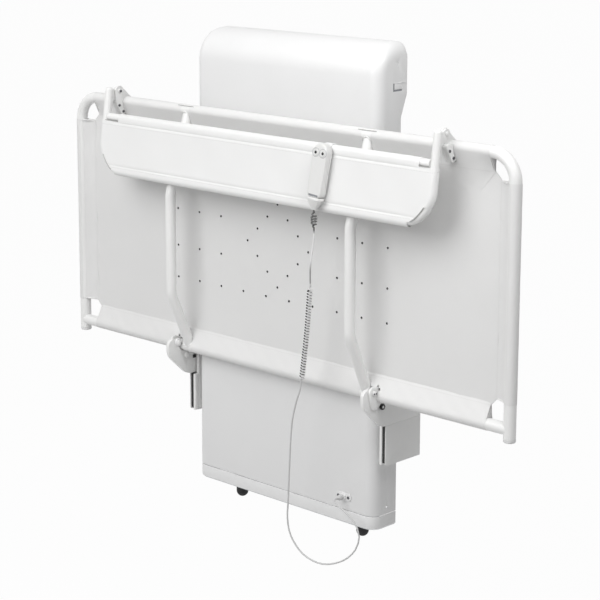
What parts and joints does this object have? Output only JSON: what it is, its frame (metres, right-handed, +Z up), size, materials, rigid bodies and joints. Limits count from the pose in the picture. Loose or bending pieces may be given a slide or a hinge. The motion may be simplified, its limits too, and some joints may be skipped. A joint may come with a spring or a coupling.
{
  "type": "wall mounted folding changing bench",
  "caption": "Wall tower with a powered carriage that carries a fold-down fabric changing bench on tubular arms, a swing guard rail and a corded handset.",
  "frame": {"origin": "centre of the upper wall plate's back face, on the wall", "axes": "+Y into the wall, +Z up, +X to the right as seen from the room"},
  "size_m": [1.8042, 0.3681, 1.5419],
  "materials": {
    "white_powder_coat": "satin powder coat on steel tube and plate",
    "white_moulded_shell": "satin moulded plastic",
    "coated_sheet": "coated woven fabric, matt",
    "coated_panel": "coated woven fabric, satin",
    "zinc_plated_steel": "zinc plated",
    "black_rubber": "matt",
    "grey_plastic": "matt",
    "grey_cord": "satin sheath"
  },
  "bodies": {
    "tower": {"wall_plate_upper": "zinc_plated_steel", "wall_plate_lower": "zinc_plated_steel", "column_left": "zinc_plated_steel", "column_right": "zinc_plated_steel", "top_bridge": "zinc_plated_steel", "base_plate": "zinc_plated_steel", "lift_spindle": "zinc_plated_steel", "control_box": "grey_plastic", "hood": "white_moulded_shell", "front_cover": "white_moulded_shell", "skirt": "white_moulded_shell", "foot_left": "black_rubber", "foot_right": "black_rubber", "cord_socket": "white_moulded_shell", "cord_plug": "grey_plastic", "cord_tail": "grey_cord"},
    "carriage": {"carriage_beam": "white_powder_coat", "slide_block_left": "grey_plastic", "slide_block_right": "grey_plastic", "lift_motor": "grey_plastic", "side_bracket_left": "white_powder_coat", "side_bracket_right": "white_powder_coat", "hinge_plate_left": "white_powder_coat", "hinge_plate_right": "white_powder_coat", "stop_bolt_left": "white_powder_coat", "stop_bolt_right": "white_powder_coat", "stop_nut_left": "black_rubber", "stop_nut_right": "black_rubber", "cord_drop": "grey_cord"},
    "bed": {"bed_frame": "white_powder_coat", "crossbar": "white_powder_coat", "arm_left": "white_powder_coat", "arm_right": "white_powder_coat", "hinge_lug_left": "white_powder_coat", "hinge_lug_right": "white_powder_coat", "pivot_bolt_left": "white_powder_coat", "pivot_bolt_right": "white_powder_coat", "post_plug_left": "white_moulded_shell", "post_plug_right": "white_moulded_shell", "bed_sheet": "coated_sheet", "rail_clamp_left": "white_powder_coat", "rail_clamp_right": "white_powder_coat", "cord_coil": "grey_cord"},
    "guard": {"guard_frame": "white_powder_coat", "guard_top_tube": "white_powder_coat", "guard_lever_left": "white_powder_coat", "guard_lever_right": "white_powder_coat", "leg_cap_left": "white_powder_coat", "leg_cap_right": "white_powder_coat", "guard_pin_left": "zinc_plated_steel", "guard_pin_right": "zinc_plated_steel", "guard_panel": "coated_panel", "handset": "white_moulded_shell", "handset_hook": "white_moulded_shell", "strain_relief": "white_moulded_shell", "cord_lead": "grey_cord"},
    "up_button": {"button_up": "white_moulded_shell"},
    "down_button": {"button_down": "white_moulded_shell"}
  },
  "joints": [
    {"name": "lift", "type": "slide", "parent": "tower", "child": "carriage", "axis": [0, 0, 1], "range_m": [-0.14, 0.52]},
    {"name": "bed_fold", "type": "hinge", "parent": "carriage", "child": "bed", "pos_m": [0, -0.252, -0.852], "axis": [1, 0, 0], "range_deg": [0, 90]},
    {"name": "guard_fold", "type": "hinge", "parent": "bed", "child": "guard", "pos_m": [0, -0.256, -0.08], "axis": [-1, 0, 0], "range_deg": [0, 150]},
    {"name": "press_up", "type": "slide", "parent": "guard", "child": "up_button", "axis": [0, 0.9912, -0.1323], "range_m": [0, 0.0015], "stiffness_N_per_m": 1500},
    {"name": "press_down", "type": "slide", "parent": "guard", "child": "down_button", "axis": [0, 0.9912, -0.1323], "range_m": [0, 0.0015], "stiffness_N_per_m": 1500}
  ]
}
